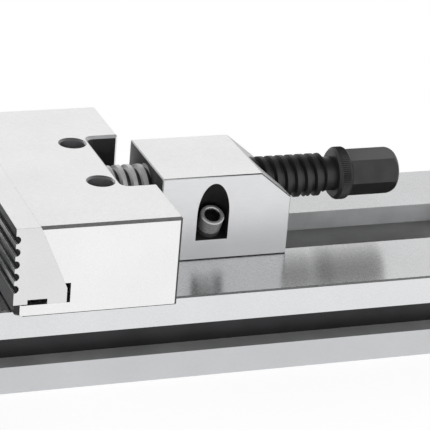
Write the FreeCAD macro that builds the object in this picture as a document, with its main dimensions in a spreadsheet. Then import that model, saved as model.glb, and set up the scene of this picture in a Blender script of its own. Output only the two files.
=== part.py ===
# Precision machine vise: a steel bed with a fixed jaw, a sliding jaw driven by a screw,
# and a nut block that clamps in the bed's T-slot.
# The frame has +Z up and +X from the fixed jaw to the hexagon end. The origin is the
# centre of the bed's underside. Lengths are millimetres, angles degrees.
import math
import os
import re

import FreeCAD
import Part
import Sketcher
from FreeCAD import Placement, Rotation, Vector

SIZES = {
    # bed
    "bed_length": 500.0,
    "bed_width": 143.0,
    "bed_height": 48.5,
    "bed_chamfer": 0.9,
    "slot_width": 45.7,
    "lip_thickness": 11.0,
    "undercut_width": 65.0,
    "slot_floor": 12.0,
    "groove_drop": 16.4,
    "groove_height": 16.5,
    "groove_depth": 10.9,
    "bed_bolt_hole": 13.0,
    "bed_bolt_spacing": 300.0,
    "bed_bolt_spread": 36.0,
    "locating_bore": 16.0,
    "locating_spacing": 200.0,
    "keyway_width": 18.0,
    "keyway_depth": 5.0,
    # jaws
    "jaw_width": 160.0,
    "jaw_height": 50.0,
    "jaw_length": 89.0,
    "jaw_opening": 110.0,
    "fixed_jaw_length": 80.0,
    "edge_chamfer": 1.5,
    "ledge_height": 6.6,
    "ledge_setback": 1.2,
    "ledge_bevel": 3.0,
    "ledge_radius": 1.6,
    "base_chamfer": 0.7,
    "toe_gap": 0.5,
    "rear_chamfer": 0.9,
    "seat_angle": 23.7,
    "plate_top": 12.9,
    "plate_heel": 28.4,
    "heel_slot_width": 1.8,
    "heel_slot_height": 11.0,
    "toe_slot_start": 7.5,
    "toe_slot_length": 10.5,
    "toe_slot_height": 3.0,
    "grip_count": 5,
    "grip_drop": 6.3,
    "grip_pitch": 6.9,
    "grip_radius": 2.15,
    "grip_inset": 0.4,
    "plate_screw_spacing": 64.0,
    "plate_screw_height": 26.5,
    # notch and screw holes in the sliding jaw
    "notch_width": 69.0,
    "notch_depth": 18.7,
    "notch_radius": 4.0,
    "notch_chamfer": 1.5,
    "notch_end_chamfer": 1.2,
    "well_setback": 10.1,
    "well_spacing": 54.0,
    "well_diameter": 13.8,
    "well_depth": 19.0,
    "well_chamfer": 1.0,
    # bearing block inside the sliding jaw
    "block_length": 29.5,
    "block_ear_width": 71.4,
    "block_ear_height": 22.0,
    "block_boss_width": 31.4,
    "block_boss_top": 47.0,
    "block_fit": 0.2,
    "block_tapped_depth": 16.0,
    "recess_margin": 1.5,
    # guide under the sliding jaw
    "guide_start": 30.0,
    "guide_length": 38.0,
    "guide_fit": 0.2,
    "hold_down_thickness": 8.7,
    "hold_down_gap": 0.3,
    "hold_down_fit": 0.8,
    "guide_screw_spread": 28.0,
    "guide_screw_pitch": 25.0,
    "guide_screw_inset": 5.0,
    "guide_tapped_depth": 10.0,
    # nut block
    "nut_gap": 5.7,
    "nut_width": 58.0,
    "nut_height": 49.4,
    "nut_length": 75.5,
    "nut_slant_run": 18.4,
    "nut_slant_drop": 15.0,
    "nut_chamfer": 0.6,
    "pocket_offset": 30.5,
    "pocket_radius": 9.2,
    "pocket_tilt": 30.0,
    "pocket_axis_height": 26.6,
    "pocket_floor_height": 11.7,
    "clamp_setback": 1.0,
    # clamp bar in the T-slot
    "bar_length": 68.0,
    "bar_inset": 3.6,
    "bar_rise_gap": 0.6,
    "bar_wing_gap": 0.1,
    "bar_wing_width": 62.0,
    "bar_depth": 23.0,
    "bar_fit": 0.2,
    "stop_length": 12.0,
    "stop_inset": 1.5,
    "stop_screw_drop": 3.0,
    "stop_screw_socket": 4.0,
    "stop_screw_socket_depth": 6.0,
    # spindle
    "spindle_height": 34.0,
    "thread_diameter": 24.2,
    "thread_pitch": 6.0,
    "thread_depth": 2.5,
    "thread_crest": 2.5,
    "thread_root": 4.2,
    "thread_length": 129.0,
    "thread_lead_in": 6.6,
    "thread_end_chamfer": 1.6,
    "ridge_sink": 0.3,
    "envelope_margin": 1.0,
    "neck_length": 6.4,
    "neck_diameter": 19.4,
    "collar_length": 8.4,
    "collar_diameter": 29.2,
    "collar_chamfer": 1.4,
    "hex_across_flats": 23.0,
    "hex_length": 30.2,
    "hex_turn": 22.0,
    "hex_end_radius": 6.0,
    "centre_hole": 3.2,
    "centre_hole_depth": 8.0,
    "centre_hole_mouth": 7.0,
    "shoulder_gap": 0.2,
    "journal_diameter": 12.0,
    "tail_diameter": 10.0,
    "tail_length": 8.0,
    "running_fit": 0.05,
    "nut_fit": 0.1,
    # thrust bearing and spindle retainer
    "bearing_diameter": 24.0,
    "bearing_pitch_diameter": 18.0,
    "bearing_fit": 0.2,
    "washer_thickness": 2.5,
    "ball_diameter": 4.0,
    "ball_play": 0.05,
    "ball_count": 10,
    "cage_thickness": 2.2,
    "cage_width": 5.0,
    "cage_fit": 0.12,
    "washer_clearance": 0.3,
    "retainer_thickness": 2.0,
    "lock_nut_thickness": 7.0,
    "lock_nut_diameter": 20.0,
    "lock_screw_diameter": 4.0,
    "lock_screw_length": 4.4,
    # screws: shank, head diameter, head height, socket
    "m_six": 6.0,
    "m_six_head": 10.0,
    "m_six_head_height": 6.0,
    "m_six_socket": 5.0,
    "m_eight": 8.0,
    "m_eight_head": 13.0,
    "m_eight_head_height": 8.0,
    "m_eight_socket": 6.0,
    "m_twelve": 12.0,
    "m_twelve_head": 18.0,
    "m_twelve_head_height": 12.0,
    "m_twelve_socket": 10.0,
    "socket_depth_ratio": 0.55,
    "socket_mouth_ratio": 0.66,
    "socket_bevel_ratio": 0.14,
    "head_bevel": 0.6,
    "head_clearance": 0.5,
    "shank_clearance": 0.4,
    "tapped_clearance": 0.05,
    "guide_screw_length": 22.0,
    "plate_screw_length": 30.0,
    "bearing_screw_length": 20.0,
    "fixed_screw_length": 60.0,
    "fixed_screw_spread": 100.0,
    "fixed_screw_pitch": 26.0,
    "fixed_screw_inset": 14.0,
    "fixed_tapped_depth": 25.0,
    "fixed_screw_head_depth": 13.0,
    "clamp_head": 13.4,
    "clamp_head_height": 9.0,
    "clamp_socket": 7.6,
    "clamp_screw_length": 36.0,
    "clamp_washer": 13.8,
    "clamp_washer_height": 3.1,
    "key_width": 16.0,
    "key_height": 9.0,
    "key_length": 80.0,
    "key_setback": 27.0,
    "key_fit": 0.02,
}

FUNCTIONS = ("tan", "cos", "sin", "sqrt")

# Smallest volume that a pocket must remove, and the tolerance for finding edges and faces
LEAST_CUT = 0.001
NEAR = 0.0001
REACH = 0.001

# Highest degree and number of spans of the thread's long faces: a low degree keeps them quick to cut
SWEEP_DEGREE = 5
SWEEP_SPANS = 2000

# Places that several pieces share, as expressions of the sizes above
RAIL = "bed_height"
SLIDING_FACE = "fixed_jaw_length + jaw_opening - bed_length / 2"
FIXED_FACE = "fixed_jaw_length - bed_length / 2"
NOTCH_FLOOR = "jaw_length - notch_depth"
BLOCK_FRONT = "jaw_length - notch_depth - block_length"
NUT_FRONT = "fixed_jaw_length + jaw_opening - bed_length / 2 + jaw_length + nut_gap"
SHOULDER = f"{NOTCH_FLOOR} + shoulder_gap"
BEARING_STACK = "2 * washer_thickness + ball_diameter + 2 * ball_play"
RECESS_DEPTH = "retainer_thickness + lock_nut_thickness + recess_margin"
JOURNAL_END = f"{BLOCK_FRONT} + recess_margin + lock_nut_thickness - running_fit"
THREAD_END = f"{SHOULDER} + thread_length"
AXIS_HEIGHT = "bed_height + spindle_height"
HEEL_SLOT_TOP = "ledge_height + heel_slot_height"
CLAMP_FLOOR_RUN = "(pocket_axis_height - pocket_floor_height) * cos(pocket_tilt)"
CLAMP_SEAT_Y = f"nut_width / 2 - ({CLAMP_FLOOR_RUN}) * sin(pocket_tilt)"
CLAMP_SEAT_Z = f"pocket_axis_height - ({CLAMP_FLOOR_RUN}) * cos(pocket_tilt)"

document = FreeCAD.newDocument("MachineVise")
sheet = document.addObject("Spreadsheet::Sheet", "Sizes")


def fill_sheet():
    """Write every size into its own named cell."""
    for row, (name, number) in enumerate(SIZES.items(), start=1):
        sheet.set(f"A{row}", name)
        sheet.set(f"B{row}", str(number))
        sheet.setAlias(f"B{row}", name)
    document.recompute()


def bind(text):
    """Return the text as an expression that reads the sheet's cells."""
    def cell(match):
        word = match.group(0)
        return word if word in FUNCTIONS else f"Sizes.{word}"
    return re.sub(r"[a-z][a-z_]*", cell, str(text))


def measure(text):
    """Return the present value of an expression."""
    return float(sheet.evalExpression(bind(text)))


def tie(thing, **places):
    """Bind properties to expressions; a double underscore stands for a point."""
    for name, text in places.items():
        thing.setExpression(name.replace("__", "."), bind(text))


def place(thing, x="0", y="0", z="0", rotation=None):
    """Put an object at a bound place, turned by a fixed rotation."""
    if rotation is not None:
        thing.Placement = Placement(Vector(), rotation)
    tie(thing, Placement__Base__x=x, Placement__Base__y=y, Placement__Base__z=z)
    return thing


def new_body(label, x="0", y="0", z="0", rotation=None):
    """Start a sub-part's body."""
    body = document.addObject("PartDesign::Body", label)
    body.Label = label
    return place(body, x, y, z, rotation)


def new_sketch(body, role, height="0"):
    """Start a sketch on one of the body's origin planes, moved along its normal."""
    sketch = body.newObject("Sketcher::SketchObject", "sketch")
    plane = [item for item in body.Origin.OriginFeatures if item.Role == role][0]
    sketch.AttachmentSupport = (plane, [""])
    sketch.MapMode = "FlatFace"
    tie(sketch, AttachmentOffset__Base__z=height)
    return sketch


def constrain(sketch, kind, text, *where):
    """Add a driven dimension to a sketch."""
    index = sketch.addConstraint(Sketcher.Constraint(kind, *where, measure(text)))
    sketch.setExpression(f"Constraints[{index}]", bind(text))


def draw_outline(sketch, corners):
    """Draw a closed polygon whose corners are pairs of expressions."""
    points = [Vector(measure(x), measure(y), 0) for x, y in corners]
    first = sketch.GeometryCount
    count = len(points)
    for index, point in enumerate(points):
        sketch.addGeometry(Part.LineSegment(point, points[(index + 1) % count]), False)
    for index in range(count):
        following = first + (index + 1) % count
        sketch.addConstraint(Sketcher.Constraint("Coincident", first + index, 2, following, 1))
    for index, (x, y) in enumerate(corners):
        constrain(sketch, "DistanceX", x, -1, 1, first + index, 1)
        constrain(sketch, "DistanceY", y, -1, 1, first + index, 1)


def draw_rectangle(sketch, x_low, x_high, y_low, y_high):
    """Draw a rectangle from four bound limits."""
    draw_outline(sketch, [(x_low, y_low), (x_high, y_low), (x_high, y_high), (x_low, y_high)])


def draw_circle(sketch, x, y, radius):
    """Draw a circle from bound sizes."""
    centre = Vector(measure(x), measure(y), 0)
    index = sketch.addGeometry(Part.Circle(centre, Vector(0, 0, 1), measure(radius)), False)
    constrain(sketch, "DistanceX", x, -1, 1, index, 3)
    constrain(sketch, "DistanceY", y, -1, 1, index, 3)
    constrain(sketch, "Radius", radius, index)


def add_pad(body, sketch, length, symmetric=False, backward=False):
    """Pad a sketch."""
    pad = body.newObject("PartDesign::Pad", "pad")
    pad.Profile = sketch
    pad.SideType = "Symmetric" if symmetric else "One side"
    pad.Reversed = backward
    tie(pad, Length=length)
    document.recompute()
    return pad


def add_pocket(body, sketch, length, upward=False, symmetric=False):
    """Cut a sketch out of the body and make sure that it removed something."""
    before = body.Shape.Volume
    pocket = body.newObject("PartDesign::Pocket", "pocket")
    pocket.Profile = sketch
    pocket.SideType = "Symmetric" if symmetric else "One side"
    pocket.Reversed = upward
    tie(pocket, Length=length)
    document.recompute()
    if body.Shape.Volume > before - LEAST_CUT:
        raise RuntimeError(f"a pocket of {body.Label} removed nothing")
    return pocket


def add_revolution(body, sketch):
    """Turn a sketch about its own horizontal axis."""
    turned = body.newObject("PartDesign::Revolution", "turned")
    turned.Profile = sketch
    turned.ReferenceAxis = (sketch, ["H_Axis"])
    turned.Angle = 360.0
    document.recompute()
    return turned


def add_edge_feature(body, kind, size, chosen):
    """Chamfer or fillet the edges whose ends and middle all pass a test of x, |y| and z."""
    names = []
    base = body.Tip
    for index, edge in enumerate(base.Shape.Edges, start=1):
        points = [vertex.Point for vertex in edge.Vertexes]
        points.append(edge.valueAt((edge.FirstParameter + edge.LastParameter) / 2))
        if all(chosen(point.x, abs(point.y), point.z) for point in points):
            names.append(f"Edge{index}")
    if not names:
        raise RuntimeError(f"no edge found for a {kind} of {body.Label}")
    feature = body.newObject(f"PartDesign::{kind}", kind.lower())
    feature.Base = (base, names)
    tie(feature, **{"Size" if kind == "Chamfer" else "Radius": size})
    document.recompute()
    return feature


def near(first, second):
    """Compare two lengths."""
    return abs(first - second) < NEAR


def add_cylinder(radius, height, x="0", y="0", z="0", rotation=None):
    """Make a plain cylinder with bound sizes."""
    item = document.addObject("Part::Cylinder", "cylinder")
    tie(item, Radius=radius, Height=height)
    return place(item, x, y, z, rotation)


def add_cone(low_radius, high_radius, height, x="0", y="0", z="0", rotation=None):
    """Make a cone frustum with bound sizes."""
    item = document.addObject("Part::Cone", "cone")
    tie(item, Radius1=low_radius, Radius2=high_radius, Height=height)
    return place(item, x, y, z, rotation)


def add_box(length, width, height, x, z, y=None):
    """Make a box centred on Y, or with a bound Y."""
    item = document.addObject("Part::Box", "box")
    tie(item, Length=length, Width=width, Height=height)
    return place(item, x, f"-({width}) / 2" if y is None else y, z)


def add_prism(across_flats, height, x="0", y="0", z="0", rotation=None):
    """Make a hexagonal prism with a bound width across flats."""
    item = document.addObject("Part::Prism", "prism")
    item.Polygon = 6
    tie(item, Circumradius=f"({across_flats}) / sqrt(3)", Height=height)
    return place(item, x, y, z, rotation)


def cut(base, tool, label=None):
    """Subtract one object from another."""
    item = document.addObject("Part::Cut", label or "cut")
    item.Base = base
    item.Tool = tool
    return item


def join(pieces, label=None):
    """Fuse several objects."""
    item = document.addObject("Part::MultiFuse", label or "join")
    item.Shapes = pieces
    return item


def group(pieces, label):
    """Keep several separate solids in one sub-part."""
    item = document.addObject("Part::Compound", label)
    item.Links = pieces
    item.Label = label
    return item


def cap_screw(size, length, head=None, head_height=None, socket=None):
    """Make a socket cap screw. Its seat is at Z = 0 and its shank points down."""
    head = head or f"{size}_head"
    head_height = head_height or f"{size}_head_height"
    socket = socket or f"{size}_socket"
    shoulder = f"{head_height} - head_bevel"
    cap = add_cylinder(f"{head} / 2", shoulder)
    rim = add_cone(f"{head} / 2", f"{head} / 2 - head_bevel", "head_bevel", z=shoulder)
    shank = add_cylinder(f"{size} / 2", length, z=f"-({length})")
    depth = f"{head_height} * socket_depth_ratio"
    key = add_prism(socket, f"{depth} + 1", z=f"{head_height} - {depth}")
    bevel = f"{socket} * socket_bevel_ratio"
    mouth = add_cone(f"{socket} * socket_mouth_ratio - {bevel}", f"{socket} * socket_mouth_ratio",
                     bevel, z=f"{head_height} - {bevel}")
    return cut(join([cap, rim, shank]), join([key, mouth]))


def make_bed():
    """Bed: two rails, T-slot, side clamping grooves, bolt holes, keyway and locating bores."""
    body = new_body("bed")
    half = "bed_width / 2"
    top = "bed_height"
    web = "bed_width / 2 - groove_depth"
    groove_top = "bed_height - groove_drop"
    groove_low = "bed_height - groove_drop - groove_height"
    side = [
        (half, "0"), (half, groove_low), (web, groove_low), (web, groove_top), (half, groove_top),
        (half, top), ("slot_width / 2", top), ("slot_width / 2", f"{top} - lip_thickness"),
        ("undercut_width / 2", f"{top} - lip_thickness"), ("undercut_width / 2", "slot_floor"),
    ]
    section = new_sketch(body, "YZ_Plane")
    draw_outline(section, side + [(f"-({x})", y) for x, y in reversed(side)])
    add_pad(body, section, "bed_length", symmetric=True)
    rail = measure(top)
    outer = measure(half)
    add_edge_feature(body, "Chamfer", "bed_chamfer", lambda x, y, z: near(z, rail) and near(y, outer))

    keyway = new_sketch(body, "YZ_Plane")
    draw_rectangle(keyway, "-keyway_width / 2", "keyway_width / 2", "-1", "keyway_depth")
    add_pocket(body, keyway, "bed_length + 2", symmetric=True)
    bores = new_sketch(body, "XY_Plane")
    bolts = new_sketch(body, "XY_Plane")
    for sign in ("-", ""):
        draw_circle(bores, f"{sign}locating_spacing / 2", "0", "locating_bore / 2")
        for side_sign in ("-", ""):
            draw_circle(bolts, f"{sign}bed_bolt_spacing / 2", f"{side_sign}bed_bolt_spread / 2",
                        "bed_bolt_hole / 2")
    add_pocket(body, bores, "slot_floor", upward=True)
    add_pocket(body, bolts, "slot_floor", upward=True)

    key_seat = new_sketch(body, "XY_Plane", top)
    key_end = f"{FIXED_FACE} - plate_heel - key_setback + key_width / 2"
    draw_rectangle(key_seat, f"{key_end} - key_width - key_fit", f"{key_end} + key_fit",
                   "-key_length / 2 - key_fit", "key_length / 2 + key_fit")
    add_pocket(body, key_seat, "key_height / 2 + key_fit")
    tapped = new_sketch(body, "XY_Plane", top)
    for along, across in fixed_screw_places():
        draw_circle(tapped, f"{FIXED_FACE} - ({along})", across, "m_twelve / 2 + tapped_clearance")
    add_pocket(body, tapped, "fixed_tapped_depth")
    return body


def fixed_screw_places():
    """Places of the fixed jaw's screws: distance behind its face, and Y."""
    rear = "fixed_jaw_length - fixed_screw_inset"
    return [(along, f"{sign}fixed_screw_spread / 2")
            for along in (f"{rear} - fixed_screw_pitch", rear) for sign in ("-", "")]


def guide_screw_places():
    """Places of the guide screws in the sliding jaw's frame: X and Y."""
    first = "guide_start + guide_screw_inset"
    return [(along, f"{sign}guide_screw_spread / 2")
            for along in (first, f"{first} + guide_screw_pitch") for sign in ("-", "")]


def start_jaw(body, length):
    """Jaw block with an inclined plate seat, a ledge below it and a relief slot behind it."""
    high = "jaw_height"
    low = HEEL_SLOT_TOP
    rear_slot = "plate_heel + heel_slot_width"
    section = new_sketch(body, "XZ_Plane")
    draw_outline(section, [
        ("ledge_setback", "0"), (length, "0"), (length, high), ("plate_top", high),
        (f"plate_top + (jaw_height - ({low})) * tan(seat_angle)", low), (rear_slot, low),
        (rear_slot, "ledge_height"), ("ledge_setback", "ledge_height"),
    ])
    add_pad(body, section, "jaw_width", symmetric=True)
    top = measure(high)
    outer = measure("jaw_width / 2")
    rear = measure(length)
    front = measure("ledge_setback")
    add_edge_feature(body, "Chamfer", "ledge_bevel", lambda x, y, z: near(x, front) and near(y, outer))
    add_edge_feature(body, "Fillet", "ledge_radius",
                     lambda x, y, z: near(z, 0) and x < front + measure("ledge_bevel") + REACH)
    add_edge_feature(body, "Chamfer", "edge_chamfer",
                     lambda x, y, z: near(y, outer) and (near(z, top) or near(x, rear)))
    add_edge_feature(body, "Chamfer", "base_chamfer", lambda x, y, z: near(z, 0) and near(y, outer))
    return top, rear


def add_plate_screw_holes(body):
    """Tapped holes for the two screws that hold a jaw plate."""
    tapped = new_sketch(body, "YZ_Plane")
    for sign in ("-", ""):
        draw_circle(tapped, f"{sign}plate_screw_spacing / 2", "plate_screw_height",
                    "m_eight / 2 + tapped_clearance")
    add_pocket(body, tapped, "m_eight_head_height + head_clearance + plate_screw_length + 1",
               upward=True)


def make_fixed_jaw():
    """Fixed jaw, turned to face the sliding jaw, with four counterbored screw holes."""
    body = new_body("fixed_jaw", FIXED_FACE, "0", RAIL, Rotation(Vector(0, 0, 1), 180))
    top, rear = start_jaw(body, "fixed_jaw_length")
    add_edge_feature(body, "Chamfer", "rear_chamfer", lambda x, y, z: near(z, top) and near(x, rear))
    add_plate_screw_holes(body)
    heads = new_sketch(body, "XY_Plane", "jaw_height")
    shanks = new_sketch(body, "XY_Plane", "jaw_height")
    for along, across in fixed_screw_places():
        draw_circle(heads, along, across, "m_twelve_head / 2 + head_clearance")
        draw_circle(shanks, along, across, "m_twelve / 2 + shank_clearance")
    add_pocket(body, heads, "fixed_screw_head_depth")
    add_pocket(body, shanks, "jaw_height + 1")
    seat = new_sketch(body, "XY_Plane")
    middle = "plate_heel + key_setback"
    draw_rectangle(seat, f"{middle} - key_width / 2 - key_fit", f"{middle} + key_width / 2 + key_fit",
                   "-key_length / 2 - key_fit", "key_length / 2 + key_fit")
    add_pocket(body, seat, "key_height / 2 + key_fit", upward=True)
    return body


def make_movable_jaw():
    """Sliding jaw with its rear notch, two screw wells and the bearing block's cavity."""
    body = new_body("movable_jaw", SLIDING_FACE, "0", RAIL)
    top, rear = start_jaw(body, "jaw_length")
    notch = new_sketch(body, "XY_Plane", "jaw_height")
    draw_rectangle(notch, NOTCH_FLOOR, "jaw_length + 1", "-notch_width / 2", "notch_width / 2")
    add_pocket(body, notch, "jaw_height + 1")
    floor = measure(NOTCH_FLOOR)
    wall = measure("notch_width / 2")
    add_edge_feature(body, "Fillet", "notch_radius", lambda x, y, z: near(x, floor) and near(y, wall))
    add_edge_feature(body, "Chamfer", "rear_chamfer",
                     lambda x, y, z: near(z, top) and near(x, rear) and y > wall - REACH)
    add_edge_feature(body, "Chamfer", "notch_chamfer",
                     lambda x, y, z: near(z, top) and x > floor - REACH and y < wall + REACH)
    add_edge_feature(body, "Chamfer", "notch_end_chamfer",
                     lambda x, y, z: near(x, rear) and near(y, wall))
    wells = new_sketch(body, "XY_Plane", "jaw_height")
    shanks = new_sketch(body, "XY_Plane", "jaw_height")
    well_x = f"{NOTCH_FLOOR} - well_setback"
    for sign in ("-", ""):
        draw_circle(wells, well_x, f"{sign}well_spacing / 2", "well_diameter / 2")
        draw_circle(shanks, well_x, f"{sign}well_spacing / 2", "m_eight / 2 + shank_clearance")
    add_pocket(body, wells, "well_depth")
    radius = measure("well_diameter / 2")
    centre = measure(well_x)
    add_edge_feature(body, "Chamfer", "well_chamfer",
                     lambda x, y, z: near(z, top) and near(math.hypot(
                         x - centre, y - measure("well_spacing / 2")), radius))
    add_pocket(body, shanks, "jaw_height - 1")
    ears = new_sketch(body, "XY_Plane")
    draw_rectangle(ears, f"{BLOCK_FRONT} - block_fit", f"{NOTCH_FLOOR} + block_fit",
                   "-block_ear_width / 2 - block_fit", "block_ear_width / 2 + block_fit")
    add_pocket(body, ears, "block_ear_height", upward=True)
    boss = new_sketch(body, "XY_Plane")
    draw_rectangle(boss, f"{BLOCK_FRONT} - block_fit", f"{NOTCH_FLOOR} + block_fit",
                   "-block_boss_width / 2 - block_fit", "block_boss_width / 2 + block_fit")
    add_pocket(body, boss, "block_boss_top + block_fit", upward=True)
    add_plate_screw_holes(body)
    tapped = new_sketch(body, "XY_Plane")
    for along, across in guide_screw_places()[:2]:
        draw_circle(tapped, along, across, "m_six / 2 + tapped_clearance")
    add_pocket(body, tapped, "guide_tapped_depth", upward=True)
    return body


def make_jaw_plate(label, face, rotation):
    """Jaw plate with round-bottomed grip grooves, an inclined back and a relief slot below."""
    body = new_body(label, face, "0", RAIL, rotation)
    back = "(plate_heel - plate_top) / tan(seat_angle)"
    toe_end = "toe_slot_start + toe_slot_length"
    toe_top = "ledge_height + toe_slot_height"
    toe = "ledge_height + toe_gap"
    section = new_sketch(body, "XZ_Plane")
    draw_outline(section, [
        ("0", toe), ("toe_slot_start", toe), ("toe_slot_start", toe_top),
        (toe_end, toe_top), (toe_end, "ledge_height"), ("plate_heel", "ledge_height"),
        ("plate_heel", f"jaw_height - {back}"), ("plate_top", "jaw_height"), ("0", "jaw_height"),
    ])
    add_pad(body, section, "jaw_width", symmetric=True)
    grips = new_sketch(body, "XZ_Plane")
    for index in range(int(measure("grip_count"))):
        draw_circle(grips, "grip_inset", f"jaw_height - grip_drop - {index} * grip_pitch",
                    "grip_radius")
    add_pocket(body, grips, "jaw_width + 2", symmetric=True)
    heads = new_sketch(body, "YZ_Plane")
    shanks = new_sketch(body, "YZ_Plane")
    for sign in ("-", ""):
        across = f"{sign}plate_screw_spacing / 2"
        draw_circle(heads, across, "plate_screw_height", "m_eight_head / 2 + head_clearance")
        draw_circle(shanks, across, "plate_screw_height", "m_eight / 2 + shank_clearance")
    add_pocket(body, heads, "m_eight_head_height + head_clearance", upward=True)
    add_pocket(body, shanks, "plate_heel + 1", upward=True)
    return body


def make_plate_screws(label, face, direction):
    """Two cap screws that hold a jaw plate; the direction is +1 or -1 along X."""
    turn = Rotation(Vector(0, 1, 0), -90 * direction)
    sign = "+" if direction > 0 else "-"
    seat = f"{face} {sign} (m_eight_head_height + head_clearance)"
    return group([place(cap_screw("m_eight", "plate_screw_length"), seat,
                        f"{side}plate_screw_spacing / 2", f"{RAIL} + plate_screw_height", turn)
                  for side in ("-", "")], label)


def make_fixed_jaw_screws():
    """Four cap screws that hold the fixed jaw on the bed."""
    seat = f"{RAIL} + jaw_height - fixed_screw_head_depth"
    return group([place(cap_screw("m_twelve", "fixed_screw_length"), f"{FIXED_FACE} - ({along})",
                        across, seat) for along, across in fixed_screw_places()],
                 "fixed_jaw_screws")


def make_fixed_jaw_key():
    """Cross key between the bed and the fixed jaw."""
    key = add_box("key_width", "key_length", "key_height",
                  f"{FIXED_FACE} - plate_heel - key_setback - key_width / 2",
                  f"{RAIL} - key_height / 2")
    key.Label = "fixed_jaw_key"
    return key


def slot_section(body, length, gap):
    """Pad a T-shaped bar that fills the bed's slot below and between its lips."""
    neck = "slot_width / 2 - bar_fit"
    wing = "bar_wing_width / 2"
    shoulder = f"-lip_thickness - {gap}"
    right = [(wing, "-bar_depth"), (wing, shoulder), (neck, shoulder), (neck, "-bar_rise_gap")]
    section = new_sketch(body, "YZ_Plane")
    draw_outline(section, right + [(f"-({x})", y) for x, y in reversed(right)])
    add_pad(body, section, length)


def tilt(side):
    """Rotation that leans a piece outward to one side: -1 is left, +1 is right."""
    turn = Rotation(Vector(0, 0, 1), 0 if side < 0 else 180)
    return Rotation(Vector(1, 0, 0), -side * measure("pocket_tilt")).multiply(turn)


def on_pocket_axis(thing, side, lift="0", inward="0"):
    """Put a piece on a leaning pocket's axis, lifted along it from the pocket's floor."""
    y = f"{CLAMP_SEAT_Y} - ({inward}) * cos(pocket_tilt) + ({lift}) * sin(pocket_tilt)"
    z = f"{RAIL} + {CLAMP_SEAT_Z} + ({inward}) * sin(pocket_tilt) + ({lift}) * cos(pocket_tilt)"
    return place(thing, f"{NUT_FRONT} + pocket_offset", f"{'-' if side < 0 else ''}({y})", z,
                 tilt(side))


def on_clamp_axis(thing, side, lift="0"):
    """Put a piece on a clamp screw's axis, which lies a little inward of its pocket's axis."""
    return on_pocket_axis(thing, side, lift, "clamp_setback")


def make_nut_block():
    """Nut block with a slanted end, the spindle's bore and two leaning screw pockets."""
    body = new_body("nut_block_blank", NUT_FRONT, "0", RAIL)
    shoulder = "nut_height - nut_slant_drop"
    section = new_sketch(body, "XZ_Plane")
    draw_outline(section, [
        ("0", "0"), ("nut_length", "0"), ("nut_length", shoulder),
        ("nut_length - nut_slant_run", "nut_height"), ("0", "nut_height"),
    ])
    add_pad(body, section, "nut_width", symmetric=True)
    outer = measure("nut_width / 2")
    add_edge_feature(body, "Chamfer", "nut_chamfer",
                     lambda x, y, z: z > -REACH and (near(y, outer) or near(x, 0)))
    bore = new_sketch(body, "YZ_Plane")
    draw_circle(bore, "0", "spindle_height", "thread_diameter / 2 + nut_fit")
    add_pocket(body, bore, "nut_length + 1", upward=True)
    tools = []
    for side in (-1, 1):
        round_end = add_cylinder("pocket_radius", "nut_height")
        mouth = add_box("2 * pocket_radius", "nut_width", "nut_height", "-pocket_radius", "0",
                        "-nut_width")
        hole = add_cylinder("m_eight / 2 + shank_clearance", "2 * nut_height")
        tools.append(on_pocket_axis(join([round_end, mouth]), side))
        tools.append(on_clamp_axis(hole, side, "-nut_height"))
    block = cut(body, join(tools), "nut_block")
    block.Label = "nut_block"
    return block


def make_clamp_bar():
    """T-shaped bar in the bed's slot that the two leaning screws pull up against the lips."""
    body = new_body("clamp_bar_blank", f"{NUT_FRONT} + bar_inset", "0", RAIL)
    slot_section(body, "bar_length", "bar_wing_gap")
    tools = [on_clamp_axis(add_cylinder("m_eight / 2 + tapped_clearance",
                                        "clamp_screw_length + 1"), side,
                           "-clamp_screw_length - 1 + clamp_washer_height") for side in (-1, 1)]
    bar = cut(body, join(tools), "clamp_bar")
    bar.Label = "clamp_bar"
    return bar


def make_clamp_screw(label, side):
    """One of the two leaning clamp screws."""
    screw = cap_screw("m_eight", "clamp_screw_length", "clamp_head", "clamp_head_height",
                      "clamp_socket")
    screw.Label = label
    return on_clamp_axis(screw, side, "clamp_washer_height")


def make_clamp_washers():
    """Thick washers under the two clamp screws."""
    return group([on_clamp_axis(ring("clamp_washer / 2", "m_eight / 2 + shank_clearance",
                                     "clamp_washer_height"), side) for side in (-1, 1)],
                 "clamp_washers")


def make_stop_block():
    """Stop at the slot's open end, and the screw that locks it."""
    start = "bed_length / 2 - stop_inset - stop_length"
    middle = "bed_length / 2 - stop_inset - stop_length / 2"
    body = new_body("stop_block", start, "0", RAIL)
    slot_section(body, "stop_length", "bar_wing_gap")
    hole = new_sketch(body, "XY_Plane", "-bar_rise_gap")
    draw_circle(hole, "stop_length / 2", "0", "m_eight / 2 + tapped_clearance")
    add_pocket(body, hole, "bar_depth")
    length = "bed_height - slot_floor - stop_screw_drop"
    shank = add_cylinder("m_eight / 2", length, z="0")
    key = add_prism("stop_screw_socket", "stop_screw_socket_depth + 1",
                    z=f"{length} - stop_screw_socket_depth")
    screw = place(cut(shank, key, "stop_block_screw"), middle, "0", "slot_floor")
    screw.Label = "stop_block_screw"
    return [body, screw]


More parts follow.
